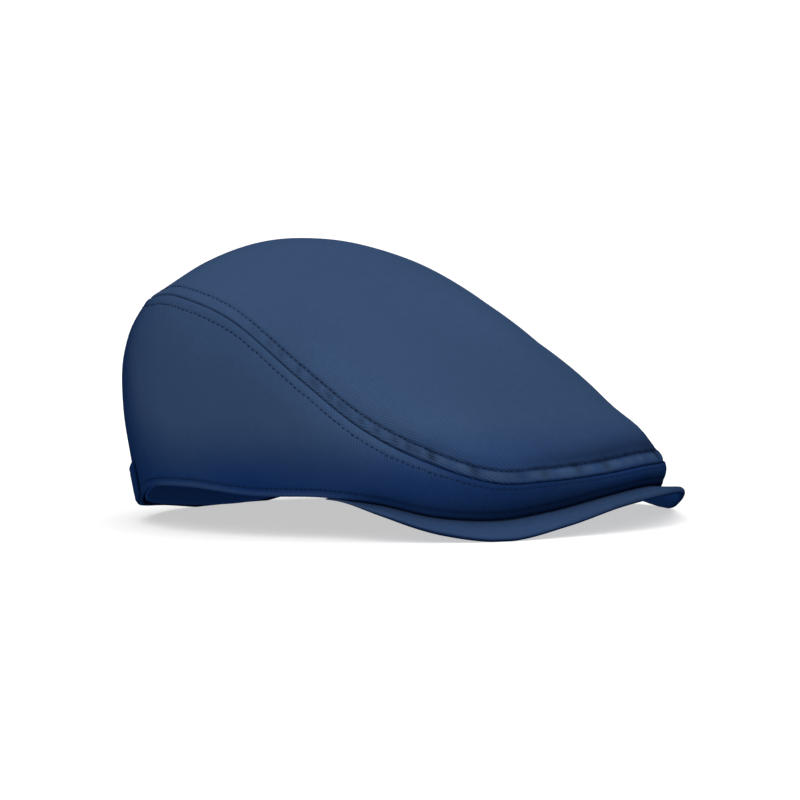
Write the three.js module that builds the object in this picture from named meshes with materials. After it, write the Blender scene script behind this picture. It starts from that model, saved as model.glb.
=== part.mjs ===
// Flat bill cap in navy cotton twill, as an assembly of its sewn pieces.
// Units are millimetres. +X is the front (bill), +Y the wearer's left, +Z up. Z = 0 is the surface that
// the cap rests on: the back of the rim and the two low sides of the arched bill touch it.
import * as THREE from "three";
import { mergeVertices } from "three/addons/utils/BufferGeometryUtils.js";

// Driving dimensions
const CLOTH = 1.8;             // wall of the crown
const SWEATBAND_WALL = 1.5;
const SWEATBAND_HEIGHT = 31;
const SWEATBAND_LEAN = 3;      // its free upper edge stands this far in from its sewn edge
const BILL_WALL = 3.2;         // stiff board with twill on both faces
const BILL_END_WALL = 1.2;     // the same where it runs out
const BILL_THINS_FROM = 4.4;   // station from which it thins
const STRAP_WALL = 1.6;
const STRAP_START = 9.45;      // station where the back strap begins, as far on the other side too
const STRAP_TOP = 0.83;        // its upper edge, as a share of the way down the side panel
const BILL_END = 5.45;         // station where the bill runs out at the temple
const TWIST = 0.127;           // slope by which the soft back leans over to the wearer's left
const TWIST_FROM = 60;         // X where that lean begins, and where it is whole
const TWIST_WHOLE = -100;
const GAP = 0.3;               // between two pieces that are sewn together
const MIDDLE_X = 27.375;       // middle of the cap's length, measured from the middle of the head

// The crown's stations run from the centre front to the centre back, round the wearer's right side.
// rim is the lower edge of the side panel and seam its upper one, where the top panel is sewn on, as
// x, distance from the centre plane, z. bulge and flare pull the side panel out below the seam and above
// the rim. rise is the angle over the horizontal at which the top panel leaves the seam, and pull how
// far it keeps that angle, as a share of the way to the apex.
const STATIONS = [
  { rim: [147, 0, 17.0], seam: [149, 0, 26.3], bulge: 2, flare: 2, rise: 61, pull: 0.15 },
  { rim: [142, 24, 15.1], seam: [143.5, 25, 25.1], bulge: 2, flare: 2, rise: 60, pull: 0.15 },
  { rim: [129, 45, 11.1], seam: [130.4, 46.7, 24.1], bulge: 2, flare: 2, rise: 59, pull: 0.17 },
  { rim: [112, 61, 8.6], seam: [113.5, 63.6, 24.7], bulge: 3, flare: 3, rise: 57, pull: 0.20 },
  { rim: [89, 73.5, 10.7], seam: [89.2, 77, 34.1], bulge: 4, flare: 4, rise: 56, pull: 0.23 },
  { rim: [63, 79, 16.1], seam: [62.7, 85.4, 48.2], bulge: 5, flare: 6, rise: 53, pull: 0.27 },
  { rim: [35, 81, 17.7], seam: [34, 90, 69.1], bulge: 7, flare: 6, rise: 51, pull: 0.28 },
  { rim: [0, 82, 15.0], seam: [1, 91, 90.9], bulge: 9, flare: 3, rise: 46, pull: 0.28 },
  { rim: [-35, 77, 14.4], seam: [-31, 86.5, 98.3], bulge: 14, flare: 2, rise: 40, pull: 0.26 },
  { rim: [-68, 62, 11.0], seam: [-57, 69, 95.6], bulge: 19, flare: 2, rise: 34, pull: 0.25 },
  { rim: [-91, 37, 2.8], seam: [-77.5, 39, 93.8], bulge: 25, flare: 4, rise: 34, pull: 0.27 },
  { rim: [-103, 0, 2.6], seam: [-87.5, 0, 93.6], bulge: 30, flare: 2, rise: 34, pull: 0.27 },
];
const APEX = new THREE.Vector3(-23, 0, 124.1);
const APEX_RADIUS_ALONG = 66;  // roundness of the top at the apex, front to back
const APEX_RADIUS_ACROSS = 134;

// Over the same stations, the bill's two edges: inner along the forehead, outer the free one. The last
// row lies just past the bill's end.
const BILL_STATIONS = [
  { inner: [97, 0, 22.5], outer: [162, 0, 16.8] },
  { inner: [92, 26, 21.2], outer: [154, 25.2, 14.2] },
  { inner: [80, 50, 19.4], outer: [139.5, 46, 7.8] },
  { inner: [68, 63, 18.4], outer: [121.4, 66.4, 3.1] },
  { inner: [58, 70, 18.4], outer: [96.3, 78.6, 6.3] },
  { inner: [50, 74, 18.8], outer: [66, 84.8, 14.4] },
  { inner: [36, 76.5, 19.5], outer: [38, 83.3, 17.6] },
];

// Sweatband: its outer face at the sewn edge, along the bill's inner edge and then inside the rim.
const BAND_STATIONS = [
  { line: [99, 0, 23.0] },
  { line: [94, 27, 21.6] },
  { line: [82, 51, 19.8] },
  { line: [69.5, 64, 18.8] },
  { line: [59.5, 71.4, 18.8] },
  { line: [50, 76, 19.2] },
  { line: [34, 78.2, 18.8] },
  { line: [0, 79.2, 16.0] },
  { line: [-34, 74.2, 15.4] },
  { line: [-66, 59.8, 12.0] },
  { line: [-88.4, 35.6, 5.0] },
  { line: [-100.4, 0, 3.4] },
];

const SIDE_COLUMNS = 44;       // faces from the centre front to the centre back
const SIDE_ROWS = 8;
const TOP_ROWS = 12;
const BILL_ROWS = 7;
const STRAP_COLUMNS = 14;
const STRAP_ROWS = 3;
const STEP = 1e-3;             // for slopes taken along a station line

const UP = new THREE.Vector3(0, 0, 1);
const LAST = STATIONS.length - 1;

const mirrored = (points) => points.map((point) => point.clone().setY(-point.y)).reverse();

// Point at any station on a smooth line through one column of a table: right side for positive stations,
// left side for negative ones. The loop goes on round the back, where the table ends on the centre plane.
function loopThrough(rows, column) {
  const right = rows.map(column);
  const loop = new THREE.CatmullRomCurve3([...right, ...mirrored(right.slice(1, -1))], true, "catmullrom", 0.5);
  return (station) => loop.getPoint(station / loop.points.length);
}

// The same on an open line, for the bill, which ends at both temples.
function arcThrough(rows, column) {
  const right = rows.map(column);
  const arc = new THREE.CatmullRomCurve3([...mirrored(right.slice(1)), ...right], false, "catmullrom", 0.5);
  return (station) => arc.getPoint(0.5 + station / (arc.points.length - 1));
}
const onRight = ([x, y, z]) => new THREE.Vector3(x, -y, z);
const rimAt = loopThrough(STATIONS, (row) => onRight(row.rim));
const seamAt = loopThrough(STATIONS, (row) => onRight(row.seam));
const sideShapeAt = loopThrough(STATIONS, (row) => new THREE.Vector3(row.bulge, 0, row.flare));
const topShapeAt = loopThrough(STATIONS, (row) => new THREE.Vector3(row.rise, 0, row.pull));
const bandAt = loopThrough(BAND_STATIONS, (row) => onRight(row.line));

// Horizontal direction away from the head, square to the rim.
function outwardAt(station) {
  const along = rimAt(station + STEP).sub(rimAt(station - STEP)).setZ(0);
  return along.cross(UP).negate().normalize();
}

// Side panel: down is 0 on the seam and 1 on the rim.
function sidePoint(station, down) {
  const seam = seamAt(station);
  const rim = rimAt(station);
  const { x: bulge, z: flare } = sideShapeAt(station);
  const out = outwardAt(station);
  const third = (seam.z - rim.z) / 3;
  const below = seam.clone().addScaledVector(out, bulge).addScaledVector(UP, -third);
  const above = rim.clone().addScaledVector(out, flare).addScaledVector(UP, third);
  return new THREE.CubicBezierCurve3(seam, below, above, rim).getPoint(down);
}

// Top panel: inward is 0 on the seam and 1 at the apex, where the panel is level and evenly rounded.
function topPoint(station, inward) {
  const seam = seamAt(station);
  const { x: rise, z: pull } = topShapeAt(station);
  const angle = THREE.MathUtils.degToRad(rise);
  const level = seam.clone().sub(APEX).setZ(0);
  const leave = outwardAt(station).multiplyScalar(-Math.cos(angle)).addScaledVector(UP, Math.sin(angle));
  const first = seam.clone().addScaledVector(leave, level.length() * pull);
  const { x: along, y: across } = level.normalize();
  const curvature = along ** 2 / APEX_RADIUS_ALONG + across ** 2 / APEX_RADIUS_ACROSS;
  const reach = Math.sqrt((2 * (APEX.z - first.z)) / (3 * curvature));
  const second = APEX.clone().addScaledVector(level, reach);
  return new THREE.CubicBezierCurve3(seam, first, second, APEX).getPoint(inward);
}

// Outward direction of a surface given as a function of station and a share across it.
function normalOn(surface, station, share) {
  const low = Math.max(share - STEP, 0);
  const high = Math.min(share + STEP, 1);
  const along = surface(station + STEP, (low + high) / 2).sub(surface(station - STEP, (low + high) / 2));
  const across = surface(station, high).sub(surface(station, low));
  return along.cross(across).normalize();
}
const sideNormal = (station, down) => normalOn(sidePoint, station, down);
const topNormal = (station, inward) => (inward === 1 ? UP.clone() : normalOn(topPoint, station, inward).negate());
const seamNormal = (station) => sideNormal(station, 0).add(topNormal(station, 0)).normalize();

// Shares from 0 to 1 in equal steps.
const steps = (count) => Array.from({ length: count + 1 }, (_, index) => index / count);

// Closed section of a wall: the outer points, then the inner ones on the way back.
const wallSection = (outer, inner) => [...outer, ...inner.reverse()];

function sideSection(station) {
  const outer = steps(SIDE_ROWS).map((down) => sidePoint(station, down));
  const normals = steps(SIDE_ROWS).map((down) => sideNormal(station, down));
  normals[0] = seamNormal(station);
  normals[SIDE_ROWS] = outwardAt(station);
  const inner = outer.map((point, row) => point.clone().addScaledVector(normals[row], -CLOTH));
  const slack = outer[1].clone().sub(outer[0]).normalize().multiplyScalar(GAP / 2);
  outer[0].add(slack);
  inner[0].add(slack);
  const section = wallSection(outer, inner);
  section.forEach((point) => point.setY(Math.min(point.y, -GAP / 2)));
  return section;
}

function topSection(station) {
  const outer = steps(TOP_ROWS).map((inward) => topPoint(station, inward));
  const normals = steps(TOP_ROWS).map((inward) => topNormal(station, inward));
  normals[0] = seamNormal(station);
  const inner = outer.map((point, row) => point.clone().addScaledVector(normals[row], -CLOTH));
  const slack = outer[1].clone().sub(outer[0]).normalize().multiplyScalar(GAP / 2);
  outer[0].add(slack);
  inner[0].add(slack);
  return wallSection(outer, inner);
}

// The bill's upper face runs from the forehead under the rim of the crown to the free edge.
const billInnerAt = arcThrough(BILL_STATIONS, (row) => onRight(row.inner));
const billOuterAt = arcThrough(BILL_STATIONS, (row) => onRight(row.outer));
function billSection(station) {
  const inner = billInnerAt(station);
  const outer = billOuterAt(station);
  const seat = rimAt(station).addScaledVector(outwardAt(station), -CLOTH).addScaledVector(UP, -GAP);
  const upper = new THREE.CatmullRomCurve3([inner, seat, outer]).getPoints(BILL_ROWS);
  const thinned = THREE.MathUtils.smoothstep(Math.abs(station), BILL_THINS_FROM, BILL_END);
  const wall = THREE.MathUtils.lerp(BILL_WALL, BILL_END_WALL, thinned);
  upper.forEach((point) => point.setZ(Math.max(point.z, wall)));
  const lower = upper.map((point) => point.clone().addScaledVector(UP, -wall));
  return wallSection(upper, lower);
}

function bandSection(station) {
  const outward = bandAt(station + STEP).sub(bandAt(station - STEP)).setZ(0).cross(UP).negate().normalize();
  const low = bandAt(station);
  const high = low.clone().addScaledVector(UP, SWEATBAND_HEIGHT).addScaledVector(outward, -SWEATBAND_LEAN);
  const outer = [low, low.clone().lerp(high, 0.5), high];
  const inner = outer.map((point) => point.clone().addScaledVector(outward, -SWEATBAND_WALL));
  return wallSection(outer, inner);
}

function strapSection(station) {
  const rows = steps(STRAP_ROWS).map((share) => THREE.MathUtils.lerp(STRAP_TOP, 1, share));
  const lift = (row, distance) => sidePoint(station, row).addScaledVector(outwardAt(station), distance);
  const outer = rows.map((row) => lift(row, GAP + STRAP_WALL));
  const inner = rows.map((row) => lift(row, GAP));
  return wallSection(outer, inner);
}

// The soft back leans to one side as the cap lies, and is flattened where it meets the surface.
function settled(point) {
  const share = 1 - THREE.MathUtils.smoothstep(point.x, TWIST_WHOLE, TWIST_FROM);
  return point.clone().setZ(Math.max(point.z - point.y * TWIST * share, 0));
}

// Skin over a row of closed sections with equally many points. An open row is closed at both ends by
// folding its last section onto the line halfway between its two sides.
function loft(sections, ring) {
  const size = sections[0].length;
  const folded = (section) => section.map((point, index) => {
    return point.clone().add(section[size - 1 - index]).multiplyScalar(0.5);
  });
  const rows = ring ? [...sections, sections[0]] : [folded(sections[0]), ...sections, folded(sections.at(-1))];
  const lying = rows.map((section) => section.map(settled));
  const triangles = [];
  for (let row = 0; row < rows.length - 1; row += 1) {
    for (let index = 0; index < size; index += 1) {
      const next = (index + 1) % size;
      const [a, b] = [lying[row][index], lying[row][next]];
      const [c, d] = [lying[row + 1][index], lying[row + 1][next]];
      triangles.push([a, c, b], [b, c, d]);
    }
  }
  const kept = triangles.filter((corners) => !collapsed(corners));
  const facesOut = kept.reduce((sum, [a, b, c]) => sum + a.dot(b.clone().cross(c)), 0) > 0;
  const points = kept.flatMap(([a, b, c]) => (facesOut ? [a, b, c] : [a, c, b]));
  return mergeVertices(new THREE.BufferGeometry().setFromPoints(points));
}

function collapsed([a, b, c]) {
  const smallest = 1e-3;
  return a.distanceTo(b) < smallest || b.distanceTo(c) < smallest || c.distanceTo(a) < smallest;
}

// Sections all the way round, right side from front to back and the left side back again.
function roundTheHead(sectionAt) {
  return steps(2 * SIDE_COLUMNS).slice(0, -1).map((share) => sectionAt(share * 2 * LAST));
}

function sewn(name, geometry, color, roughness) {
  const material = new THREE.MeshStandardMaterial({ color, roughness, metalness: 0 });
  const mesh = new THREE.Mesh(geometry, material);
  mesh.name = name;
  return mesh;
}

const sideSections = steps(SIDE_COLUMNS).map((share) => sideSection(share * LAST));
const billStations = steps(2 * SIDE_COLUMNS).map((share) => THREE.MathUtils.lerp(-BILL_END, BILL_END, share));
const strapStations = steps(STRAP_COLUMNS).map((share) => {
  return THREE.MathUtils.lerp(STRAP_START, 2 * LAST - STRAP_START, share);
});

const cap = new THREE.Group();
cap.add(
  sewn("crown_top", loft(roundTheHead(topSection), true), 0x364c6c, 0.9),
  sewn("side_right", loft(sideSections, false), 0x304665, 0.9),
  sewn("side_left", loft(sideSections.map(mirrored), false), 0x304665, 0.9),
  sewn("bill", loft(billStations.map(billSection), false), 0x2c4263, 0.85),
  sewn("sweatband", loft(roundTheHead(bandSection), true), 0x0d1c3c, 0.95),
  sewn("back_strap", loft(strapStations.map(strapSection), false), 0x223a5c, 0.9),
);
cap.children.forEach((mesh) => mesh.geometry.translate(-MIDDLE_X, 0, 0));

export default cap;
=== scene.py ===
# %% [markdown]
# A flat bill cap in navy twill, sewn from a top panel, two side panels, a stiff bill, an inner band
# and a back strap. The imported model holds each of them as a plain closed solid. This script makes the
# cloth that shows: every panel is a fine grid laid on the same curves as its solid, pulled in along
# the seams, raised where the allowance lies under it, and sewn with real stitches.

# %% The frame
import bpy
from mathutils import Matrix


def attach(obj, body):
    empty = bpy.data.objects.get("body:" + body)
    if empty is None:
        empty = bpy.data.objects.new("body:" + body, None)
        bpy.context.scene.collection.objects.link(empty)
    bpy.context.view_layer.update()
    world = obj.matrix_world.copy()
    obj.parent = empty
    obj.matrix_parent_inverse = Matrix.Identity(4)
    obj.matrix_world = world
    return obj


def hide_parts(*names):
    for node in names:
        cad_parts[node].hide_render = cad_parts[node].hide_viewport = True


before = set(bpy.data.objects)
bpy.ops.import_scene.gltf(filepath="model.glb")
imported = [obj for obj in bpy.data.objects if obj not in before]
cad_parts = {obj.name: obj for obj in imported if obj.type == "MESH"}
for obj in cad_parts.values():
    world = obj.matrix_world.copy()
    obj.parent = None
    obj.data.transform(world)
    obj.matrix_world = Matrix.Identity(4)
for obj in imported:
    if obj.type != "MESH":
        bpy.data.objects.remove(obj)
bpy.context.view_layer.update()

# %% The other modules
import math

import bmesh
import bpy
import numpy as np
from mathutils import Matrix, Vector

# %% [markdown]
# The camera comes first, because the photograph decides it: a little above the surface, looking at
# the wearer's right front. A short lens close by would swell the bill, so the lens is long and the
# camera stands well back. It stands a few millimetres off the line to the point it aims at, in place
# of a lens shift, so that every other view stays centred too.

# %% Camera
VIEW_AZIMUTH = math.radians(33.5)
VIEW_ELEVATION = math.radians(4.9)
VIEW_ROLL = math.radians(-2.2)
VIEW_DISTANCE = 2.5
VIEW_CENTRE = Vector((-0.0024, 0.0, 0.060))
VIEW_RIGHT = 0.0005
VIEW_UP = -0.0075
LENS_MM = 255.8


def make_camera():
    """A camera that looks from azimuth and elevation, turned about its own axis by the roll."""
    flat = math.cos(VIEW_ELEVATION)
    back = Vector((math.sin(VIEW_AZIMUTH) * flat, -math.cos(VIEW_AZIMUTH) * flat, math.sin(VIEW_ELEVATION)))
    level = Vector((math.cos(VIEW_AZIMUTH), math.sin(VIEW_AZIMUTH), 0.0))
    turn = Matrix.Rotation(VIEW_ROLL, 3, back)
    right = turn @ level
    up = turn @ back.cross(level)
    camera = bpy.data.objects.new("camera", bpy.data.cameras.new("camera"))
    camera.data.lens = LENS_MM
    camera.data.clip_end = 200
    place = VIEW_CENTRE + VIEW_DISTANCE * back + VIEW_RIGHT * right + VIEW_UP * up
    axes = Matrix((right, up, back)).transposed()
    camera.matrix_world = Matrix.Translation(place) @ axes.to_4x4()
    bpy.context.collection.objects.link(camera)
    bpy.context.scene.camera = camera
    print("camera stands at", [round(value, 3) for value in place])


make_camera()

# %% [markdown]
# The cap's curves are the ones that its solids follow. Each row of the table is a place round the
# head, from the centre front to the centre back, in millimetres from the middle of the head: the rim,
# the seam above it, and how the panels run between them. Bulge and flare push the side panel out
# below the seam and above the rim. Rise is the top panel's slope at the seam, in degrees, and pull is
# how far it keeps that slope.

# %% Table of stations
STATIONS = (
    # rim x, y, z, seam x, y, z, bulge, flare, rise, pull
    (147, 0, 17.0, 149, 0, 26.3, 2, 2, 61, 0.15),
    (142, 24, 15.1, 143.5, 25, 25.1, 2, 2, 60, 0.15),
    (129, 45, 11.1, 130.4, 46.7, 24.1, 2, 2, 59, 0.17),
    (112, 61, 8.6, 113.5, 63.6, 24.7, 3, 3, 57, 0.20),
    (89, 73.5, 10.7, 89.2, 77, 34.1, 4, 4, 56, 0.23),
    (63, 79, 16.1, 62.7, 85.4, 48.2, 5, 6, 53, 0.27),
    (35, 81, 17.7, 34, 90, 69.1, 7, 6, 51, 0.28),
    (0, 82, 15.0, 1, 91, 90.9, 9, 3, 46, 0.28),
    (-35, 77, 14.4, -31, 86.5, 98.3, 14, 2, 40, 0.26),
    (-68, 62, 11.0, -57, 69, 95.6, 19, 2, 34, 0.25),
    (-91, 37, 2.8, -77.5, 39, 93.8, 25, 4, 34, 0.27),
    (-103, 0, 2.6, -87.5, 0, 93.6, 30, 2, 34, 0.27),
)
BILL_STATIONS = (
    # inner edge x, y, z, outer edge x, y, z
    (97, 0, 22.5, 162, 0, 16.8),
    (92, 26, 21.2, 154, 25.2, 14.2),
    (80, 50, 19.4, 139.5, 46, 7.8),
    (68, 63, 18.4, 121.4, 66.4, 3.1),
    (58, 70, 18.4, 96.3, 78.6, 6.3),
    (50, 74, 18.8, 66, 84.8, 14.4),
    (36, 76.5, 19.5, 38, 83.3, 17.6),
)
BAND_STATIONS = (
    # lower edge x, y, z
    (99, 0, 23.0), (94, 27, 21.6), (82, 51, 19.8), (69.5, 64, 18.8),
    (59.5, 71.4, 18.8), (50, 76, 19.2), (34, 78.2, 18.8), (0, 79.2, 16.0),
    (-34, 74.2, 15.4), (-66, 59.8, 12.0), (-88.4, 35.6, 5.0), (-100.4, 0, 3.4),
)
APEX = np.array((-23.0, 0.0, 124.1))
APEX_RADIUS_ALONG = 66.0
APEX_RADIUS_ACROSS = 134.0
MIDDLE_X = 27.375
TWIST = 0.127
TWIST_FROM = 60.0
TWIST_WHOLE = -100.0
UP = np.array((0.0, 0.0, 1.0))
BACK = len(STATIONS) - 1
STEP = 1e-3
print(len(STATIONS), "stations from the centre front to the centre back")

# %% [markdown]
# A smooth line through a few rows is made of cubic stretches. Each leaves and arrives along the line
# between its neighbours, so the whole passes through every row without a kink. A curve object could
# hold the same line, but a function can be asked for any place on the cloth, as the grids below need.

# %% Curves round the head
TABLE = np.array(STATIONS, float)
TO_RIGHT = np.array((1.0, -1.0, 1.0))


def hermite(points, share):
    """Point on the stretch between the middle two of four points, on a smooth line through them all."""
    before, start, end, after = points
    leave = (end - before) / 2
    arrive = (after - start) / 2
    fall = 2 * start - 2 * end + leave + arrive
    bend = 3 * end - 3 * start - 2 * leave - arrive
    return ((fall * share + bend) * share + leave) * share + start


def round_the_head(right, mirror):
    """Smooth closed line through the right side's rows and the same rows mirrored on the left."""
    loop = np.concatenate([right, right[-2:0:-1] * mirror])

    def at(station):
        station = np.asarray(station, float)
        first = np.floor(station).astype(int)
        share = (station - first)[..., None]
        return hermite([loop[(first + step) % len(loop)] for step in (-1, 0, 1, 2)], share)

    return at


rim_at = round_the_head(TABLE[:, 0:3] * TO_RIGHT, TO_RIGHT)
seam_at = round_the_head(TABLE[:, 3:6] * TO_RIGHT, TO_RIGHT)
shape_at = round_the_head(TABLE[:, 6:10], 1.0)
band_at = round_the_head(np.array(BAND_STATIONS, float) * TO_RIGHT, TO_RIGHT)


def unit(vectors):
    """The same directions with a length of 1."""
    return vectors / np.maximum(np.linalg.norm(vectors, axis=-1, keepdims=True), 1e-9)


def outward_from(line, station):
    """Level direction away from the head, square to a line round it."""
    along = line(station + STEP) - line(station - STEP)
    return unit(np.stack([-along[..., 1], along[..., 0], np.zeros(along.shape[:-1])], -1))


def bezier(start, first, second, end, share):
    """Point on a cubic curve from start to end, drawn towards two handles."""
    share = share[..., None]
    rest = 1 - share
    return start * rest**3 + 3 * first * rest**2 * share + 3 * second * rest * share**2 + end * share**3


def side_point(station, down):
    """The side panel: down is 0 on the seam and 1 on the rim."""
    seam, rim, shape = seam_at(station), rim_at(station), shape_at(station)
    out = outward_from(rim_at, station)
    third = (seam[..., 2:] - rim[..., 2:]) / 3 * UP
    return bezier(seam, seam + out * shape[..., :1] - third, rim + out * shape[..., 1:2] + third, rim, down)


def top_point(station, inward):
    """The top panel: inward is 0 on the seam and 1 at the apex."""
    seam, shape = seam_at(station), shape_at(station)
    rise = np.radians(shape[..., 2:3])
    level = (seam - APEX) * (1.0, 1.0, 0.0)
    leave = np.sin(rise) * UP - np.cos(rise) * outward_from(rim_at, station)
    first = seam + leave * np.linalg.norm(level, axis=-1, keepdims=True) * shape[..., 3:4]
    level = unit(level)
    curvature = level[..., :1] ** 2 / APEX_RADIUS_ALONG + level[..., 1:2] ** 2 / APEX_RADIUS_ACROSS
    second = APEX + level * np.sqrt(2 * (APEX[2] - first[..., 2:]) / (3 * curvature))
    return bezier(seam, first, second, APEX, inward)


def normal_on(surface, station, share):
    """Direction square to a surface, to the outside for the side panel and the inside for the top."""
    low, high = np.maximum(share - STEP, 0), np.minimum(share + STEP, 1)
    along = surface(station + STEP, share) - surface(station - STEP, share)
    return unit(np.cross(along, surface(station, high) - surface(station, low)))


def settled(points):
    """The soft back leans to the wearer's left as the cap lies, and is flat where it meets the surface."""
    share = np.clip((points[..., 0] - TWIST_WHOLE) / (TWIST_FROM - TWIST_WHOLE), 0, 1)
    lean = TWIST * (1 - share**2 * (3 - 2 * share))
    height = np.maximum(points[..., 2] - points[..., 1] * lean, 0)
    return np.stack([points[..., 0] - MIDDLE_X, points[..., 1], height], -1) / 1000


print("apex at", [round(float(value), 4) for value in settled(APEX)])

# %% [markdown]
# Seams, stitches and ribs lie at even distances on the cloth itself, not at even steps of a station.
# So lengths are added up over many short straight steps, and looked up where a place is needed at a
# given distance.

# %% Lengths along and across the cloth
FINE = np.linspace(0, 1, 65)
ROUND = np.linspace(0, 2 * BACK, 2201)


def running_length(points):
    """Length along rows of points, from the first one of each row."""
    steps = np.linalg.norm(np.diff(points, axis=-2), axis=-1)
    return np.concatenate([np.zeros(steps.shape[:-1] + (1,)), np.cumsum(steps, axis=-1)], -1)


SEAM_LENGTH = running_length(seam_at(ROUND))
RIM_LENGTH = running_length(rim_at(ROUND))


def along_seam(station):
    return np.interp(station, ROUND, SEAM_LENGTH)


def depth_of(surface, station):
    """The whole way across a panel from the seam, at each station."""
    return running_length(surface(station[:, None], FINE))[:, -1]


def share_at(surface, station, distance):
    """The share of the way across that lies at a distance from the seam: a row for each station."""
    lengths = running_length(surface(station[:, None], FINE))
    return np.array([np.interp(row, length, FINE) for row, length in zip(distance, lengths)])


print(f"seam {SEAM_LENGTH[-1]:.0f} mm round, rim {RIM_LENGTH[-1]:.0f} mm round")

# %% [markdown]
# Cloth that is sewn isn't smooth. Along the seam it turns in and makes one sharp, dark crease. Between
# the crease and the row of stitches above it lies the seam's allowance, which lifts the cloth into
# little pillows where the thread draws it together, most of all over the forehead. A few tight
# pinches cross it there, and the plain cloth further off has soft low waves. These could be sculpted
# by hand or left to a bump, but they show in the outline, so they are heights over the plain curves,
# in millimetres. Both panels run a little past the seam inside the crease, as turned edges do, so
# that they cross there and no light comes through between them.

# %% Relief of the sewn cloth
SEAM_LAP = 0.25
CREASE_DEPTH = 0.85
TOP_STITCH = 6.2
SIDE_STITCH = 5.0
HEM_STITCH = 3.4
DEEP_PANEL = 30.0
NARROWEST = 0.45


def smoothstep(value, low, high):
    """0 up to low, 1 from high on, and smooth between them."""
    share = np.clip((value - low) / (high - low), 0, 1)
    return share**2 * (3 - 2 * share)


def ridge(distance, middle, width):
    """A smooth rise to 1 at the middle, nearly gone two widths away."""
    return np.exp(-(((distance - middle) / width) ** 2))


def wander(length, waves, whole=SEAM_LENGTH[-1]):
    """An uneven wave along a length, from about -1 to 1, from (wavelength, size, start) triples.

    Each wavelength is rounded so that the wave meets itself after the whole way round.
    """
    turn = 2 * math.pi * length / whole
    return sum(size * np.sin(round(whole / wave) * turn + start) for wave, size, start in waves)


def from_front(station):
    """Stations away from the centre front, on either side."""
    return np.minimum(station, 2 * BACK - station)


def narrowed(depth):
    """How much of their full width the hem and the stitches take on a side panel that deep."""
    return np.clip(depth / DEEP_PANEL, NARROWEST, 1)


PUCKERS = ((17.3, 0.42, 0.4), (11.1, 0.34, 2.1), (7.3, 0.24, 1.0), (29.0, 0.3, 4.0))
TUCK_MM = 8.8
FLAT_CORNER = 20.6
PINCHES = (
    # station from the centre front, how tight
    (0.87, 1.0), (1.42, 0.9), (2.05, 0.8), (2.6, 0.35), (3.3, 0.9), (3.95, 0.8),
)


def front_share(station):
    """How much of the forehead's fullness there is: whole at the front, none past the temples."""
    return 1 - smoothstep(from_front(station), 3.4, 6.2)


def flatter(station):
    """How much flatter the allowance lies: most of all round the left front corner."""
    away = np.abs(np.mod(station - FLAT_CORNER + BACK, 2 * BACK) - BACK)
    return ridge(away, 0, 1.3)


def temple_share(station):
    """Where the allowance is drawn into small even tucks: from the temples to above the ears."""
    return smoothstep(from_front(station), 3.2, 4.4) * (1 - smoothstep(from_front(station), 5.8, 7.4))


def tucked(length):
    """Small tucks at nearly the same pitch, from 0 in a fold to 1 on a pillow."""
    return 0.5 + 0.5 * np.sin(2 * math.pi * length / TUCK_MM + 1.6 * wander(length, PUCKERS))


def pinched(station):
    """Short tight folds across the allowance, where the thread has caught it."""
    away = along_seam(from_front(station))
    return sum(tight * ridge(away, along_seam(place), 2.4) for place, tight in PINCHES)


def puckered(length, station):
    """How full the allowance is along the seam: thin and even behind, drawn into pillows in front."""
    front = front_share(station) * (0.6 + 0.35 * wander(length, PUCKERS)) * (1 - 0.7 * flatter(station))
    return 0.14 + front + 0.55 * temple_share(station) * tucked(length)


def slack(points, distance):
    """Soft low waves in the plain cloth away from the seam, where nothing holds it taut."""
    x, y = points[..., 0], points[..., 1]
    waves = 0.26 * np.sin((x + 0.4 * y) / 7.9 + 1.0) * np.sin((y - 0.3 * x) / 9.7 + 0.5)
    waves = waves + 0.15 * np.sin((0.6 * x - y) / 5.3 + 2.0) * np.sin((x + y) / 14.3)
    return waves * smoothstep(distance, 10, 34)


def top_relief(station, distance):
    """Height of the top panel over its plain curves."""
    length = along_seam(station)
    full = puckered(length, station)
    front = front_share(station) * (1 - 0.6 * flatter(station))
    turned = -CREASE_DEPTH * ridge(distance, 0, 0.55)
    pillow = full * ridge(distance, 3.1, 2.0) - 0.65 * pinched(station) * ridge(distance, 3.3, 2.8)
    drawn = -(0.16 + 0.4 * front) * ridge(distance, TOP_STITCH, 0.8)
    pulled = front * (0.3 * wander(length, PUCKERS) - 0.2) * ridge(distance, TOP_STITCH + 4.0, 3.6)
    nose = (1.5 * ridge(distance, 17, 8) - 0.6 * ridge(distance, 33, 6)) * ridge(from_front(station), 0, 2.2)
    return turned + pillow + drawn + pulled + nose


def side_relief(station, distance, depth):
    """Height of a side panel over its plain curves, where depth is the whole way from seam to rim."""
    length = along_seam(station)
    narrow = narrowed(depth)
    turned = -CREASE_DEPTH * ridge(distance, 0, 0.5)
    pillow = 0.14 * ridge(distance, 2.6, 1.4) * narrow
    drawn = -0.16 * ridge(distance, SIDE_STITCH * narrow, 0.7)
    pulled = 0.12 * wander(length, PUCKERS) * front_share(station) * ridge(distance, 3.4, 3.0)
    strap = smoothstep(from_front(station), 8.9, 9.4)
    from_rim = depth - distance
    hem = (0.5 * ridge(from_rim, 1.1, 1.0) - 0.25 * ridge(from_rim, HEM_STITCH, 0.8)) * (1 - strap) * narrow
    full = 0.8 * ridge(distance, 17, 13) * smoothstep(from_front(station), 7.8, 9.4)
    return turned + pillow + drawn + pulled + hem + full


print("pinches", [f"{along_seam(place):.0f} mm" for place, _ in PINCHES], "from the centre front")

# %% [markdown]
# Every panel starts as Blender's own flat grid. Its vertices are then moved onto the cloth: across
# the grid runs the station round the head, and along it the distance from the seam, with the rows
# close together where the sewing is and further apart on the plain cloth. A cloth simulation could
# drape the grid instead, but sewn panels are nearly taut, and this way the seams stay exactly where
# the solids have them.

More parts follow.
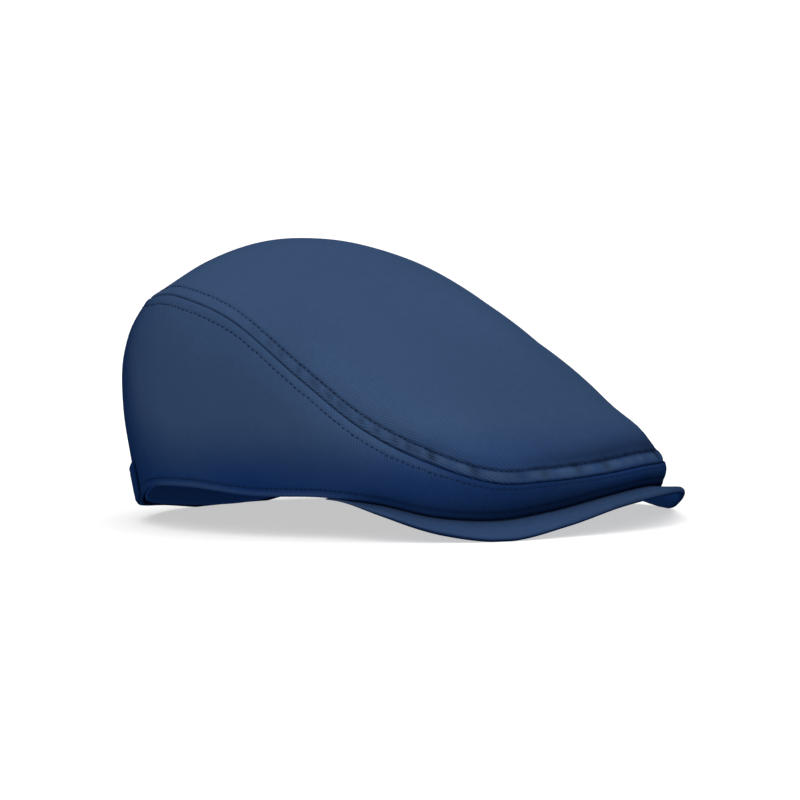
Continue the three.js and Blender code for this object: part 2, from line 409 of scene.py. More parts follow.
# %% Grids laid on the cloth
def flat_grid(columns, rows):
    """A grid, with the column and the row of each of its vertices."""
    bm = bmesh.new()
    bmesh.ops.create_grid(bm, x_segments=columns, y_segments=rows, size=1)
    place = np.array([vertex.co[:2] for vertex in bm.verts]) / 2 + 0.5
    column = np.rint(place[:, 0] * columns).astype(int)
    row = np.rint(place[:, 1] * rows).astype(int)
    return bm, column, row


def spaced(edge, edge_rows, length, middle_rows, far_edge, far_rows):
    """Distances over one length: close rows in the first and last stretches, wider ones between."""
    near = np.linspace(0, edge, edge_rows, endpoint=False)
    middle = np.linspace(edge, length - far_edge, middle_rows, endpoint=far_rows == 0)
    far = np.linspace(length - far_edge, length, far_rows)
    return np.concatenate([near, middle, far])


def laid(bm, column, row, points, pattern):
    """Moves the grid onto points and gives it a UV map in millimetres of cloth, then closes it."""
    uv = bm.loops.layers.uv.new("cloth")
    for vertex, place in zip(bm.verts, points[column, row]):
        vertex.co = place
    on_cloth = pattern[column, row]
    bm.verts.index_update()
    for face in bm.faces:
        for loop in face.loops:
            loop[uv].uv = on_cloth[loop.vert.index]
    bmesh.ops.remove_doubles(bm, verts=bm.verts, dist=1e-6)
    bmesh.ops.dissolve_degenerate(bm, edges=bm.edges, dist=1e-7)
    return bm


def face_out(bm, inside):
    """Turns an open sheet so that its faces point away from a place inside."""
    bm.normal_update()
    facing = sum(face.normal.dot(face.calc_center_median() - inside) for face in bm.faces)
    if facing < 0:
        bmesh.ops.reverse_faces(bm, faces=bm.faces)


def made(bm, name, material, node=None, wall=0.0, reverse=None):
    """Turns a mesh into a piece of the cap, with a wall of that thickness inside its outer face.

    The wall's inner face takes the material of the cloth's reverse, where there is one.
    """
    mesh = bpy.data.meshes.new(name)
    bm.to_mesh(mesh)
    bm.free()
    mesh.materials.append(material)
    mesh.shade_smooth()
    piece = bpy.data.objects.new(name, mesh)
    bpy.context.collection.objects.link(piece)
    if wall:
        thick = piece.modifiers.new("wall", "SOLIDIFY")
        thick.thickness = wall
        thick.offset = -1
        if reverse:
            mesh.materials.append(reverse)
            thick.material_offset = 1
    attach(piece, "root")
    if node:
        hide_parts(node)
    print(name, len(mesh.polygons), "faces")
    return piece


# %% [markdown]
# Twill is a weave whose yarns step over each other in diagonal ribs. Real ribs would take millions of
# faces, so here they are fine waves on the cloth's own UV map, which follow each panel as the real
# cut does: a wave for the ribs, a finer one for the yarns that cross them, and noise that lets both
# fade in and out. Finer noise stands for uneven yarn. They darken the cloth a little and raise it a
# little. The colour is painted light and shade on the navy dye: it goes from a shaded, deep navy low
# down and in the folds to a lit, greyer navy on the crown, with soft noise between. Numbers on each
# vertex say how much painted light and how much painted shade the cloth has there, and how plain it
# looks. The reverse of the cloth, inside the cap, is darker: painted shade for the inside of the cap.

# %% Twill
RIB_MM = 1.2
YARN_MM = 0.62
CLOUDS_PER_M = 22.0
PATCHES_PER_M = 14.0
SLUBS_PER_M = 360.0
YARN_SHARE = 0.4
# The two navies are a shaded and a lit copy of one dye, for painted light and shade.
SHADED_NAVY = (0.0048, 0.0196, 0.076)
LIT_NAVY = (0.0252, 0.0490, 0.104)
SHADED_UP_TO = 0.175
PAINTED_SHADE_DARKENS = 0.8


def wave_scale(period):
    """Blender's wave texture repeats every 2 pi / (20 x scale)."""
    return 2 * math.pi / (20 * period)


def add(nodes, kind, **inputs):
    """A new node with some of its inputs set."""
    node = nodes.new(kind)
    for name, value in inputs.items():
        node.inputs[name.replace("_", " ")].default_value = value
    return node


def sum_of(nodes, links, first, factor, rest):
    """First times factor plus rest, where first is a socket and the others are sockets or numbers."""
    node = nodes.new("ShaderNodeMath")
    node.operation = "MULTIPLY_ADD"
    for place, value in enumerate((first, factor, rest)):
        if isinstance(value, (int, float)):
            node.inputs[place].default_value = value
        else:
            links.new(value, node.inputs[place])
    return node.outputs[0]


def matt(name, roughness):
    """A material without gloss, and its nodes, links and shader."""
    material = bpy.data.materials.new(name)
    material.use_nodes = True
    nodes, links = material.node_tree.nodes, material.node_tree.links
    shader = nodes["Principled BSDF"]
    shader.inputs["Roughness"].default_value = roughness
    shader.inputs["Specular IOR Level"].default_value = 0.0
    return material, nodes, links, shader


def stored(nodes, name):
    """The number that the mesh's vertices hold under a name."""
    node = nodes.new("ShaderNodeAttribute")
    node.attribute_name = name
    return node.outputs["Fac"]


def noise_on(nodes, links, scale, detail, roughness=0.5):
    """Noise in the piece's own coordinates, which are metres, so it stays with the piece."""
    where = nodes.new("ShaderNodeTexCoord")
    noise = add(nodes, "ShaderNodeTexNoise", Scale=scale, Detail=detail, Roughness=roughness)
    links.new(where.outputs["Object"], noise.inputs["Vector"])
    return noise.outputs["Fac"]


def colour_along(nodes, links, value, stops):
    """A colour that changes with a value, through (value, colour) stops."""
    ramp = nodes.new("ShaderNodeValToRGB")
    elements = ramp.color_ramp.elements
    while len(elements) < len(stops):
        elements.new(0.5)
    for element, (place, colour) in zip(elements, stops):
        element.position = place
        element.color = (*colour, 1)
    links.new(value, ramp.inputs["Fac"])
    return ramp.outputs["Color"]


def woven(nodes, links, rib_angle, rib_mm):
    """Ribs and the yarns that cross them, as waves on the cloth's own UV map."""
    cloth = nodes.new("ShaderNodeUVMap")
    cloth.uv_map = "cloth"
    turned = add(nodes, "ShaderNodeMapping", Rotation=(0, 0, rib_angle))
    links.new(cloth.outputs["UV"], turned.inputs["Vector"])
    rib = add(
        nodes, "ShaderNodeTexWave", Scale=wave_scale(rib_mm), Distortion=2.0, Detail=2.0, Detail_Scale=0.3
    )
    yarn = add(
        nodes, "ShaderNodeTexWave", Scale=wave_scale(YARN_MM), Distortion=2.2, Detail=1.0, Detail_Scale=0.8
    )
    yarn.bands_direction = "Y"
    for wave in (rib, yarn):
        links.new(turned.outputs["Vector"], wave.inputs["Vector"])
    return sum_of(nodes, links, yarn.outputs["Fac"], YARN_SHARE, rib.outputs["Fac"])


def twill(name, rib_angle, depth=1.0, height=0.00009, rib_share=0.3, rib_mm=RIB_MM):
    """Navy twill: depth scales the dye, rib_share is how much the valleys darken."""
    material, nodes, links, shader = matt(name, 0.85)
    both = woven(nodes, links, rib_angle, rib_mm)
    shown = sum_of(nodes, links, stored(nodes, "plain"), -1.0, 1.0)
    weave = sum_of(nodes, links, both, shown, 0.0)
    clouds = noise_on(nodes, links, CLOUDS_PER_M, 3.0, 0.55)
    patches = noise_on(nodes, links, PATCHES_PER_M, 1.0)
    slubs = noise_on(nodes, links, SLUBS_PER_M, 3.0, 0.7)
    # Painted light: the stored painted light, with soft noise, picks the colour between the shaded and the
    # lit navy.
    noise_and_painted_light = sum_of(nodes, links, clouds, 0.35, stored(nodes, "painted_light"))
    shaded_colour = [depth * part for part in SHADED_NAVY]
    lit_colour = [depth * part for part in LIT_NAVY]
    base_colour = colour_along(nodes, links, noise_and_painted_light, ((SHADED_UP_TO, shaded_colour), (1.0, lit_colour)))
    seen = sum_of(nodes, links, patches, 1.6 * rib_share, -0.3 * rib_share)
    ribbed = sum_of(nodes, links, both, seen, -0.35 * rib_share)
    uneven = sum_of(nodes, links, slubs, 0.2, 0.9)
    lit = sum_of(nodes, links, ribbed, shown, uneven)
    # Painted shade: the stored painted shade darkens the colour.
    shade = sum_of(nodes, links, stored(nodes, "painted_shade"), -PAINTED_SHADE_DARKENS, lit)
    shaded_base = nodes.new("ShaderNodeVectorMath")
    shaded_base.operation = "SCALE"
    links.new(base_colour, shaded_base.inputs[0])
    links.new(shade, shaded_base.inputs["Scale"])
    links.new(shaded_base.outputs["Vector"], shader.inputs["Base Color"])
    raised = add(nodes, "ShaderNodeBump", Strength=0.4, Distance=height)
    links.new(weave, raised.inputs["Height"])
    links.new(raised.outputs["Normal"], shader.inputs["Normal"])
    return material


TOP_TWILL = twill("top_twill", math.radians(68), rib_share=0.42, rib_mm=1.15)
SIDE_TWILL = twill("side_twill", 0.0, rib_share=0.24)
BILL_TWILL = twill("bill_twill", 0.0, depth=0.95, height=0.00003, rib_share=0.05)
# The band's navy is painted lighter than the rest: painted light for the inside of the cap.
BAND_TWILL = twill("band_twill", math.radians(45), depth=1.3, rib_share=0.2)
STRAP_TWILL = twill("strap_twill", math.radians(20), depth=0.9)
# The reverse is the same navy at under half the depth: painted shade for the inside of the cap.
SHADED_REVERSE_TWILL = twill("shaded_reverse_twill", 0.0, depth=0.45, rib_share=0.2)
STRANDS_PER_M = 2600.0
THREAD_DARK = (0.002, 0.006, 0.022)
THREAD_LIGHT = (0.007, 0.016, 0.045)


def thread_material():
    """Dark sewing thread with a faint twist, seen as stripes along each stitch."""
    material, nodes, links, shader = matt("thread", 0.7)
    strands = noise_on(nodes, links, STRANDS_PER_M, 1.0)
    base_colour = colour_along(nodes, links, strands, ((0.0, THREAD_DARK), (1.0, THREAD_LIGHT)))
    links.new(base_colour, shader.inputs["Base Color"])
    return material


THREAD = thread_material()
print("materials:", sorted(material.name for material in bpy.data.materials))

# %% [markdown]
# The top panel is one piece of cloth, cut as a long oval and drawn over the crown. Its grid closes on
# itself round the head and comes together at the apex, where it is flattest. It could as well be a
# plain dome with its edge pressed in, but only rows that follow the seam can hold a crease this
# sharp. Three numbers are stored on its vertices. Painted light is high on the crown and over the
# pillows. Painted shade is high in the crease, the furrow and the pinches, and over the forehead.
# Plain is low where light grazes the cloth, because its ribs show clearly only there.

# %% Top panel
CLOTH_WALL = 0.0014
SHADE_WAVES = ((6.1, 0.5, 0.3), (3.9, 0.4, 1.1), (9.7, 0.5, 2.9))
TOP_COLUMNS = 720
TOP_NEAR = 10.0
TOP_NEAR_ROWS = 24
TOP_FAR_ROWS = 44
INSIDE = Vector((-0.02, 0, 0.05))


def note_painted_light_and_ribs(bm, column, row, **layers):
    """Stores painted light, painted shade and how plain the ribs look at each vertex, under their own names,
    before doubles are merged.
    """
    for name, values in layers.items():
        layer = bm.verts.layers.float.new(name)
        for vertex, value in zip(bm.verts, values[column, row]):
            vertex[layer] = value


def lit_by_height(points, low, high):
    """Painted light: how much lighter the cloth is painted, between two heights over the surface in
    millimetres.
    """
    return smoothstep(points[..., 2] * 1000, low, high)


def ribs_seen(station, first, last):
    """Where the light picks the ribs out, between two stations from the centre front."""
    away = from_front(station)
    return smoothstep(away, first - 0.4, first + 0.6) * (1 - smoothstep(away, last - 0.8, last + 0.6))


def top_painted_light(station, distance, points):
    """How much painted light and painted shade the top panel's cloth has, and how plain it looks."""
    length = along_seam(station)
    front = front_share(station)
    temple = temple_share(station)
    band = ridge(distance, 3.1, 1.9)
    raised = front * (0.4 + 0.4 * wander(length, PUCKERS)) * (1 - 0.8 * flatter(station))
    pillow = band * (0.06 + raised + 0.45 * temple * tucked(length))
    # Painted light: lighter higher up on the crown and over the raised pillows, less in the crease.
    painted_light = 0.34 + 0.6 * lit_by_height(points, 26, 60) + pillow
    # Painted shade along the stitches' furrow, in the crease, pinches and folds between tucks, in the hollow
    # above the stitches, over the forehead and round the temples.
    furrow_shade = 0.16 + 0.3 * np.maximum(front, temple) * (1 + 0.4 * wander(length, SHADE_WAVES))
    crease = ridge(distance, 0, 0.5) * (0.8 + 0.2 * wander(length, SHADE_WAVES))
    painted_light = painted_light - 0.5 * crease
    painted_shade = 0.75 * crease + furrow_shade * ridge(distance, TOP_STITCH + 0.2, 1.1)
    wide = ridge(distance, 3.2, 2.8)
    painted_shade = painted_shade + 0.5 * wide * pinched(station) + 0.4 * band * temple * (1 - tucked(length))
    hollow = ridge(from_front(station), 0.6, 1.7) * ridge(distance, TOP_STITCH + 4.0, 5.0)
    painted_shade = painted_shade + 0.45 * hollow + 0.15 * front * ridge(distance, TOP_STITCH + 3.0, 3.0)
    forehead = (1 - smoothstep(from_front(station), 1.5, 4.5)) * smoothstep(distance, 8, 20)
    painted_shade = painted_shade + 0.04 + 0.14 * forehead * (1 - smoothstep(distance, 50, 120))
    painted_shade = painted_shade + 0.4 * wide * ridge(from_front(station), 2.75, 0.65)
    aside = smoothstep(from_front(station), 2.8, 4.0) * (1 - smoothstep(from_front(station), 5.4, 7.0))
    painted_shade = painted_shade + 0.15 * aside * ridge(distance, 5, 9) + 0.2 * flatter(station) * ridge(distance, 4, 5)
    plain = 0.85 - 0.85 * ribs_seen(station, 2.2, 6.6) * (1 - smoothstep(distance, 14, 52))
    return {"painted_light": painted_light, "painted_shade": painted_shade, "plain": plain}


def top_cloth():
    """The top panel, from the seam to the apex all round the head."""
    station = np.linspace(0, 2 * BACK, TOP_COLUMNS + 1)
    depth = depth_of(top_point, station)
    distance = np.array([spaced(TOP_NEAR, TOP_NEAR_ROWS, length, TOP_FAR_ROWS, 0, 0) for length in depth])
    share = share_at(top_point, station, distance)
    station = station[:, None]
    normal = -normal_on(top_point, station, share)
    normal[:, -1] = UP
    normal[:, 0] = unit(normal[:, 0] + normal_on(side_point, station, np.zeros((len(normal), 1)))[:, 0])
    plain_points = top_point(station, share)
    relief = top_relief(station, distance) + slack(plain_points, distance)
    points = plain_points + normal * relief[..., None]
    points[:, 0] -= SEAM_LAP * unit(plain_points[:, 1] - plain_points[:, 0])
    points = settled(points)
    from_apex = (depth[:, None] - distance)[..., None]
    pattern = unit((seam_at(station) - APEX) * (1.0, 1.0, 0.0))[..., :2] * from_apex
    bm, column, row = flat_grid(TOP_COLUMNS, distance.shape[1] - 1)
    note_painted_light_and_ribs(bm, column, row, **top_painted_light(station, distance, points))
    laid(bm, column, row, points, pattern)
    face_out(bm, INSIDE)
    return made(bm, "top_cloth", TOP_TWILL, "crown_top", CLOTH_WALL, SHADED_REVERSE_TWILL)


top = top_cloth()

# %% [markdown]
# Each side panel runs from the centre front to the centre back, low at the front and high at the
# back. Its lower edge is turned up and sewn as a round hem. The left one is the right one mirrored,
# by its points and not by a Mirror modifier, because the cap's soft back then leans to one side.
# The two meet at the centre back in a plain seam, where neither may pass the middle.

# %% Side panels
SIDE_COLUMNS = 360
SIDE_NEAR = 8.0
SIDE_FAR = 7.0
SIDE_NEAR_ROWS = 20
SIDE_MIDDLE_ROWS = 22
SIDE_FAR_ROWS = 18
SIDE_WHOLE = 20.0


def side_rows(depth):
    """Distances from the seam down a side panel, closer together where the panel is low."""
    part = min(depth / SIDE_WHOLE, 1)
    return spaced(
        SIDE_NEAR * part, SIDE_NEAR_ROWS, depth, SIDE_MIDDLE_ROWS, SIDE_FAR * part, SIDE_FAR_ROWS
    )


def side_painted_light(station, distance, depth, from_back, points):
    """How much painted light and painted shade a side panel's cloth has, and how plain it looks."""
    from_rim = depth - distance
    # Painted light: lighter higher up, on the rolled hem and over the allowance; less of it towards the back
    # and in the crease.
    hem = ridge(from_rim, 1.2, 0.9) * smoothstep(station, 5.2, 6.2) * (1 - smoothstep(station, 8.4, 9.0))
    behind = smoothstep(station, 7.6, 9.7) + smoothstep(station, 8.7, 9.5)
    painted_light = 0.05 + (0.8 - 0.36 * behind) * lit_by_height(points, 20, 56) + 0.34 * hem
    allowance = 0.25 * ridge(distance, 2.6, 1.8) * smoothstep(station, 3.2, 4.4)
    painted_light = painted_light + allowance * (1 - smoothstep(station, 5.2, 7.0))
    painted_light = painted_light - 0.5 * ridge(distance, 0, 0.4)
    # Painted shade in the crease, the stitch furrows and the back seam, over the front strip, darker towards
    # the back and low at the front under the crown.
    painted_shade = 0.8 * ridge(distance, 0, 0.4) + 0.1 * ridge(distance, SIDE_STITCH * narrowed(depth), 0.6)
    painted_shade = painted_shade + 0.15 * ridge(from_rim, HEM_STITCH, 0.7) + 0.6 * ridge(from_back, 0, 0.5)
    strip = smoothstep(station, 0.2, 1.8) * (1 - smoothstep(station, 2.0, 4.6))
    painted_shade = painted_shade + 0.15 + 0.3 * strip - 0.15 * smoothstep(station, 3.0, 5.0)
    painted_shade = painted_shade + 0.5 * smoothstep(station, 8.3, 10.4)
    painted_shade = painted_shade + 0.42 * ridge(from_rim, 0, 5.5) * (1 - smoothstep(station, 4.6, 6.0))
    plain = 0.92 - 0.92 * ribs_seen(station, 3.3, 6.4) + 0 * distance
    return {"painted_light": painted_light, "painted_shade": painted_shade, "plain": plain}


def side_cloth(name, node, mirror):
    """One side panel; mirror is 1 for the wearer's right and -1 for the left."""
    station = np.linspace(0, BACK, SIDE_COLUMNS + 1)
    depth = depth_of(side_point, station)
    distance = np.array([side_rows(length) for length in depth])
    share = share_at(side_point, station, distance)
    station = station[:, None]
    depth = depth[:, None]
    normal = normal_on(side_point, station, share)
    normal[:, 0] = unit(normal[:, 0] - normal_on(top_point, station, np.zeros((len(normal), 1)))[:, 0])
    relief = side_relief(station, distance, depth)
    from_back = SEAM_LENGTH[-1] / 2 - along_seam(station)
    relief = relief - 0.5 * ridge(from_back, 0, 1.0)
    points = side_point(station, share)
    eased = np.minimum(distance, 1.6 * (depth - distance))
    relief = relief + slack(points[..., [0, 2, 1]], eased) * (1 - smoothstep(station, 9.6, 10.6))
    lap = SEAM_LAP * unit(points[:, 1] - points[:, 0])
    points = points + normal * relief[..., None]
    points[:, 0] -= lap
    points[..., 1] = np.minimum(points[..., 1], 0.0)
    points = settled(points * (1.0, mirror, 1.0))
    pattern = np.stack([np.interp(station, ROUND, RIM_LENGTH) + 0 * distance, distance], -1)
    bm, column, row = flat_grid(SIDE_COLUMNS, distance.shape[1] - 1)
    note_painted_light_and_ribs(bm, column, row, **side_painted_light(station, distance, depth, from_back, points))
    laid(bm, column, row, points, pattern)
    face_out(bm, INSIDE)
    return made(bm, name, SIDE_TWILL, node, CLOTH_WALL, SHADED_REVERSE_TWILL)


side_right = side_cloth("side_cloth_right", "side_right", 1)
side_left = side_cloth("side_cloth_left", "side_left", -1)

# %% [markdown]
# The bill is a stiff board covered with twill on both faces and rounded along its free edge. A flat
# plate could be cut out and bent, but it would meet the rim only roughly. So its grid is laid along
# the rim from the start, and goes all the way round the board's section: over the top, round the
# edge, back underneath and up the inner edge to where it began. Both ends thin out under the rim and
# are pinched shut at the temples.

# %% Bill
BILL_WALL = 3.2
BILL_END_WALL = 0.6
BILL_THINS_FROM = 4.4
BILL_RUNS_OUT = 4.9
BILL_END = 5.9
BILL_COLUMNS = 300
BILL_TOP_ROWS = 22
BILL_EDGE_ROWS = 9
CLOTH = 1.8
GAP = 0.3
BILL_TABLE = np.array(BILL_STATIONS, float)


def along_bill(right):
    """Smooth open line through the right side's rows and the same rows mirrored on the left."""
    line = np.concatenate([(right * TO_RIGHT)[:0:-1] * TO_RIGHT, right * TO_RIGHT])

    def at(station):
        place = np.clip(station + len(right) - 1, 0, len(line) - 1 - 1e-9)
        first = np.floor(place).astype(int)
        share = (place - first)[..., None]
        padded = np.concatenate([2 * line[:1] - line[1:2], line, 2 * line[-1:] - line[-2:-1]])
        return hermite([padded[first + step] for step in (0, 1, 2, 3)], share)

    return at


bill_inner = along_bill(BILL_TABLE[:, 0:3])
bill_outer = along_bill(BILL_TABLE[:, 3:6])


def even_hermite(before, start, end, after, share):
    """Point between start and end on a line whose speed suits uneven gaps between the four points."""
    gaps = [np.sqrt(np.linalg.norm(b - a, axis=-1, keepdims=True)) for a, b in
            ((before, start), (start, end), (end, after))]
    leave = (start - before) / gaps[0] - (end - before) / (gaps[0] + gaps[1]) + (end - start) / gaps[1]
    arrive = (end - start) / gaps[1] - (after - start) / (gaps[1] + gaps[2]) + (after - end) / gaps[2]
    leave, arrive = leave * gaps[1], arrive * gaps[1]
    fall = 2 * start - 2 * end + leave + arrive
    bend = 3 * end - 3 * start - 2 * leave - arrive
    return ((fall * share + bend) * share + leave) * share + start


def bill_section(station):
    """The board's section at each station: upper face, round edge, lower face and inner edge."""
    inner, outer = bill_inner(station), bill_outer(station)
    around = np.mod(station, 2 * BACK)
    seat = rim_at(around) - outward_from(rim_at, around) * CLOTH - UP * GAP
    runs_out = smoothstep(np.abs(station), BILL_RUNS_OUT, BILL_END)[:, None]
    outer = outer + (rim_at(around) - UP * GAP - outer) * runs_out
    share = np.linspace(0, 2, BILL_TOP_ROWS + 1)[None, :, None]
    inner, seat, outer = inner[:, None], seat[:, None], outer[:, None]
    first = even_hermite(2 * inner - seat, inner, seat, outer, np.minimum(share, 1))
    second = even_hermite(inner, seat, outer, 2 * outer - seat, np.maximum(share - 1, 0))
    upper = np.where(share < 1, first, second)
    thinned = smoothstep(np.abs(station), BILL_THINS_FROM, BILL_END)[:, None]
    wall = BILL_WALL + (BILL_END_WALL - BILL_WALL) * thinned
    upper[..., 2] = np.maximum(upper[..., 2], wall)
    away = unit((upper[:, -1] - upper[:, -2]) * (1.0, 1.0, 0.0))[:, None]
    turn = np.linspace(0, math.pi, BILL_EDGE_ROWS + 2)[1:-1][None, :, None]
    half = wall[..., None] / 2
    middle = upper[:, -1:] - half * UP - away * half
    edge = middle + away * half * np.sin(turn) + UP * half * np.cos(turn)
    trimmed = upper.copy()
    near = smoothstep(np.linspace(0, 1, BILL_TOP_ROWS + 1), 0.8, 1.0)[None, :, None]
    trimmed -= away * half * near
    lower = trimmed[:, ::-1] - wall[..., None] * UP
    section = np.concatenate([trimmed, edge, lower, trimmed[:, :1]], axis=1)
    for end in (0, -1):
        section[end] = (section[end] + section[end][::-1]) / 2
    return section


def bill_painted_light(station, place):
    """How much painted light and painted shade the bill's cloth has, by station and by row round the
    section.
    """
    seat = 0.5 * BILL_TOP_ROWS
    lower = BILL_TOP_ROWS + BILL_EDGE_ROWS
    under = smoothstep(place, BILL_TOP_ROWS + 5, BILL_TOP_ROWS + 7)
    above = place < BILL_TOP_ROWS + 6
    # Painted light on the upper face, out from under the crown.
    painted_light = 0.62 * smoothstep(place, 0.5 * seat, seat) * (1 - under)
    # Painted shade on the underside, next to the crown, and more towards the left end.
    painted_shade = 0.75 * under * (1 - 1.4 * smoothstep(place, lower, lower + 4))
    painted_shade = painted_shade + 0.32 * (1 - smoothstep(station, 0.3, 3.0)) * above
    painted_shade = painted_shade + 0.6 * ridge(place, seat, 1.1) * (1 - smoothstep(station, 1.0, 3.0))
    painted_shade = painted_shade + 0.16 * (1 - smoothstep(station, -2.4, 0.2)) * above
    return {"painted_light": painted_light, "painted_shade": painted_shade}


def bill_cloth():
    """The bill, covered with cloth all round its section."""
    station = np.linspace(-BILL_END, BILL_END, BILL_COLUMNS + 1)
    section = bill_section(station)
    across = running_length(section)
    along = running_length(bill_outer(station)[None])[0]
    pattern = np.stack([along[:, None] + 0 * across, across], -1)
    place = np.arange(section.shape[1])[None, :] + 0 * across
    bm, column, row = flat_grid(BILL_COLUMNS, section.shape[1] - 1)
    note_painted_light_and_ribs(bm, column, row, **bill_painted_light(station[:, None], place))
    laid(bm, column, row, settled(section), pattern)
    bmesh.ops.recalc_face_normals(bm, faces=bm.faces)
    return made(bm, "bill_cloth", BILL_TWILL, "bill")


bill_cloth()

# %% [markdown]
# The band inside the rim is a strip of dark tape, sewn on at its lower edge and standing free above
# it, so its upper edge waves a little. Extruding the rim upwards would give a stiff ring. A grid of
# its own can lean in and wave more towards its free edge.

# %% Inner band
BAND_HEIGHT = 31.0
BAND_LEAN = 3.0
BAND_WALL = 0.0011
BAND_COLUMNS = 360
BAND_ROWS = 16


def inner_band():
    """The tape inside the rim."""
    station = np.linspace(0, 2 * BACK, BAND_COLUMNS + 1)[:, None]
    share = np.linspace(0, 1, BAND_ROWS + 1)[None, :]
    out = outward_from(band_at, station)
    length = running_length(band_at(station[:, 0])[None])[0][:, None]
    loose = wander(length, ((61.0, 0.35, 0.3), (37.0, 0.25, 1.7)), length[-1, 0]) * share**2
    low = band_at(station)
    sewn = 1.1 * ridge(share, 0, 0.12)
    inward = BAND_LEAN * share + 0.4 + loose - sewn
    points = low + UP * (BAND_HEIGHT * share)[..., None] - out * inward[..., None]
    pattern = np.stack([length + 0 * share, BAND_HEIGHT * share + 0 * length], -1)
    bm, column, row = flat_grid(BAND_COLUMNS, BAND_ROWS)
    laid(bm, column, row, settled(points), pattern)
    face_out(bm, INSIDE)
    return made(bm, "inner_band", BAND_TWILL, "sweatband", BAND_WALL)


band = inner_band()

# %% [markdown]
# The back strap is a short strip of twill, laid over the outside of the back rim. A bent plate would
# stand off a rim that curves both ways. So the strap is the lowest part of the side panel's own
# surface, moved outwards a little. Its edges are turned in, with a furrow where they would be sewn.

# %% Back strap
STRAP_START = 9.45
STRAP_TOP = 0.83
STRAP_OUT = 2.0
STRAP_WALL = 0.0016
STRAP_COLUMNS = 110
STRAP_ROWS = 26


def strap_cloth():
    """The strap over the back of the rim."""
    station = np.linspace(STRAP_START, 2 * BACK - STRAP_START, STRAP_COLUMNS + 1)[:, None]
    share = np.linspace(STRAP_TOP, 1, STRAP_ROWS + 1)[None, :]
    surface = side_point(station, share + 0 * station)
    across = running_length(surface)
    along = running_length(surface[:, 0][None])[0][:, None]
    from_edge = np.minimum(np.minimum(across, across[:, -1:] - across), np.minimum(along, along[-1] - along))
    relief = -0.7 * ridge(from_edge, 0, 0.8) - 0.25 * ridge(from_edge, 2.4, 0.6)
    out = outward_from(rim_at, station)
    points = surface + out * (STRAP_OUT + relief)[..., None]
    pattern = np.stack([along + 0 * across, across], -1)
    bm, column, row = flat_grid(STRAP_COLUMNS, STRAP_ROWS)
    laid(bm, column, row, settled(points), pattern)
    face_out(bm, INSIDE)
    return made(bm, "strap_cloth", STRAP_TWILL, "back_strap", STRAP_WALL)


strap = strap_cloth()

# %% [markdown]
# A stitch is a short length of thread that dips into the cloth at both ends. Stitches drawn by the
# material would look printed from the side, so each is a small rounded form, partly sunk in the
# furrow that the thread draws, and a row of them is one joined mesh. They follow the seams at the
# distances that the furrows have, and differ a little in length, depth and place, as sewn thread does.

# %% Stitches
STITCH_PITCH = 2.5
STITCH_LENGTH = 1.75
STITCH_WIDTH = 0.5
STITCH_STANDS = 0.12
STITCH_ASIDE = 0.12
STITCH_DEEPER = 0.07
STITCH_SHORTEST = 0.65
STITCH_LONGEST = 1.1
HEM_FROM = 5.0
HEM_TO = 9.3


def stitch_mesh(name, places, directions, normals):
    """One joined mesh of stitches at places in millimetres, lying along directions."""
    bm = bmesh.new()
    chance = np.random.default_rng(len(places))
    each = (len(places), 1)
    aside = unit(np.cross(normals, directions)) * chance.normal(0, STITCH_ASIDE, each)
    places = places + aside - normals * np.abs(chance.normal(0, STITCH_DEEPER, each))
    reach = directions * STITCH_LENGTH / 2 * chance.uniform(STITCH_SHORTEST, STITCH_LONGEST, each)
    ahead = settled(places + reach)
    behind = settled(places - reach)
    for start, end, normal in zip(behind, ahead, normals):
        start, end, normal = Vector(start), Vector(end), Vector(normal)
        along = end - start
        side = normal.cross(along).normalized() * STITCH_WIDTH / 2000
        lift = along.cross(side).normalized() * STITCH_WIDTH / 2000
        axes = Matrix((along / 2, side, lift)).transposed().to_4x4()
        where = Matrix.Translation((start + end) / 2) @ axes
        bmesh.ops.create_uvsphere(bm, u_segments=6, v_segments=5, radius=1, matrix=where)
    bmesh.ops.recalc_face_normals(bm, faces=bm.faces)
    return made(bm, name, THREAD)


def evenly(start, end, lengths):
    """Stations at an even pitch of stitches between two stations."""
    first, last = np.interp((start, end), ROUND, lengths)
    count = int((last - first) / STITCH_PITCH)
    return np.interp(first + STITCH_PITCH * (np.arange(count) + 0.5), lengths, ROUND)


def stitches_on(name, surface, sign, relief, station, distance, mirror=1.0):
    """A row of stitches on a panel, at distances from the seam, one for each station."""
    share = share_at(surface, station, distance[:, None])[:, 0]
    normal = sign * normal_on(surface, station, share)
    ahead, behind = station + 0.01, station - 0.01
    direction = unit(surface(ahead, share) - surface(behind, share))
    places = surface(station, share) + normal * (relief + STITCH_STANDS)[:, None]
    flip = np.array((1.0, mirror, 1.0))
    return stitch_mesh(name, places * flip, direction * flip, normal * flip)


stations = evenly(0, 2 * BACK, SEAM_LENGTH)
distance = np.full(len(stations), TOP_STITCH)
stitches_on("top_stitches", top_point, -1, top_relief(stations, distance), stations, distance)

for mirror, side in ((1.0, "right"), (-1.0, "left")):
    stations = evenly(0, BACK, SEAM_LENGTH)
    depth = depth_of(side_point, stations)
    distance = SIDE_STITCH * narrowed(depth)
    sunk = 0.14 * (1 - smoothstep(stations, 1.8, 3.6))
    relief = side_relief(stations, distance, depth) - sunk
    stitches_on(f"side_stitches_{side}", side_point, 1, relief, stations, distance, mirror)
    stations = evenly(HEM_FROM, HEM_TO, RIM_LENGTH)
    depth = depth_of(side_point, stations)
    distance = depth - HEM_STITCH
    relief = side_relief(stations, distance, depth)
    stitches_on(f"hem_stitches_{side}", side_point, 1, relief, stations, distance, mirror)

# %% [markdown]
# The cap lies on a plain pale floor that runs out to the horizon. Nearly all the light is soft and
# comes from above, a little from the wearer's right front, so the crown is light, the walls under it
# are darker and the floor brightens their lower edges. The floor glows a little, as a lit table does,
# so that the shadow on it stays light. The sky is dim, apart from a thin bright rim at the horizon,
# which is nearly as light as the floor. None of these are part of the cap.

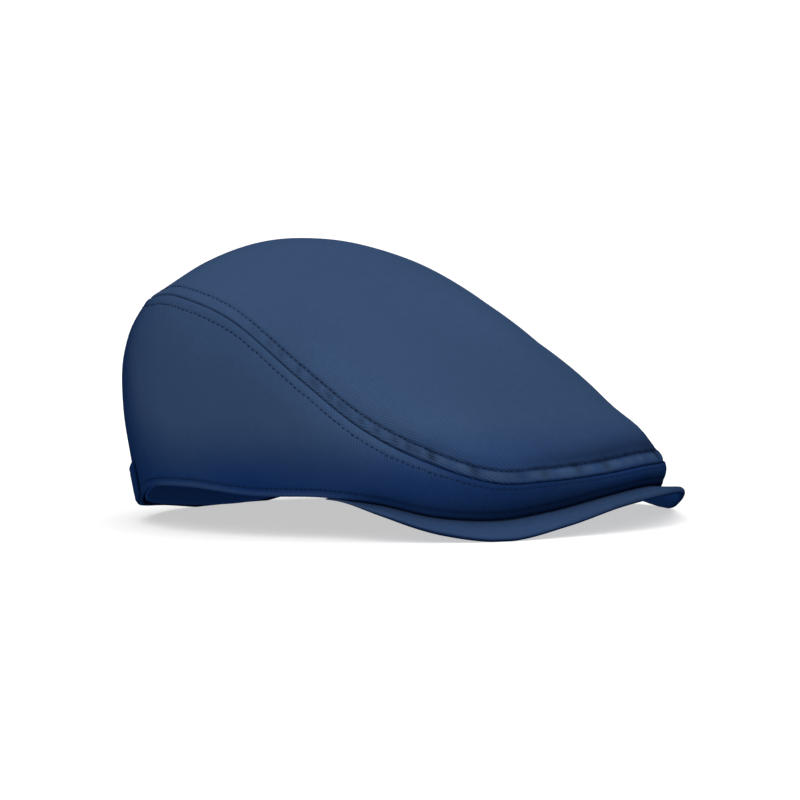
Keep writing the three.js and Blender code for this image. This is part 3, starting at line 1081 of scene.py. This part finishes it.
# %% Floor, light and colours
FLOOR_ALBEDO = 0.44
FLOOR_GLOW = 0.54
LAMP_ELEVATION = math.radians(64)
LAMP_AZIMUTH = math.radians(-38)
LAMP_ENERGY = 3.7
LAMP_ANGLE = math.radians(95)
FLOOR_REACH = 60
SKY = (
    # height, how bright
    (0.0, 0.95), (0.02, 0.95), (0.07, 0.26), (0.55, 0.28), (1.0, 0.80),
)


def make_floor():
    """A plain pale floor that glows a little."""
    bm = bmesh.new()
    bmesh.ops.create_grid(bm, x_segments=1, y_segments=1, size=FLOOR_REACH)
    mesh = bpy.data.meshes.new("floor")
    bm.to_mesh(mesh)
    bm.free()
    floor = bpy.data.objects.new("floor", mesh)
    bpy.context.collection.objects.link(floor)
    paint, _, _, shader = matt("floor", 0.9)
    shader.inputs["Base Color"].default_value = (FLOOR_ALBEDO, FLOOR_ALBEDO, FLOOR_ALBEDO, 1)
    shader.inputs["Emission Color"].default_value = (1, 1, 1, 1)
    shader.inputs["Emission Strength"].default_value = FLOOR_GLOW
    mesh.materials.append(paint)


def make_sky():
    """A dim sky with a bright rim at the horizon and a brighter top."""
    world = bpy.data.worlds.new("sky")
    world.use_nodes = True
    nodes, links = world.node_tree.nodes, world.node_tree.links
    where = nodes.new("ShaderNodeTexCoord")
    parts = nodes.new("ShaderNodeSeparateXYZ")
    links.new(where.outputs["Generated"], parts.inputs["Vector"])
    greys = [(height, (grey, grey, grey)) for height, grey in SKY]
    sky = colour_along(nodes, links, parts.outputs["Z"], greys)
    links.new(sky, nodes["Background"].inputs["Color"])
    bpy.context.scene.world = world


def make_lamp():
    """A lamp as far away as the sun and as wide as a big softbox."""
    light = bpy.data.lights.new("above", "SUN")
    light.energy = LAMP_ENERGY
    light.angle = LAMP_ANGLE
    holder = bpy.data.objects.new("above", light)
    flat = math.cos(LAMP_ELEVATION)
    toward = Vector((math.cos(LAMP_AZIMUTH) * flat, math.sin(LAMP_AZIMUTH) * flat, math.sin(LAMP_ELEVATION)))
    holder.matrix_world = toward.to_track_quat("Z", "Y").to_matrix().to_4x4()
    bpy.context.collection.objects.link(holder)


make_floor()
make_sky()
make_lamp()
bpy.context.scene.view_settings.view_transform = "Standard"
print("lamp", LAMP_ENERGY, "floor", FLOOR_ALBEDO, "and its glow", FLOOR_GLOW)
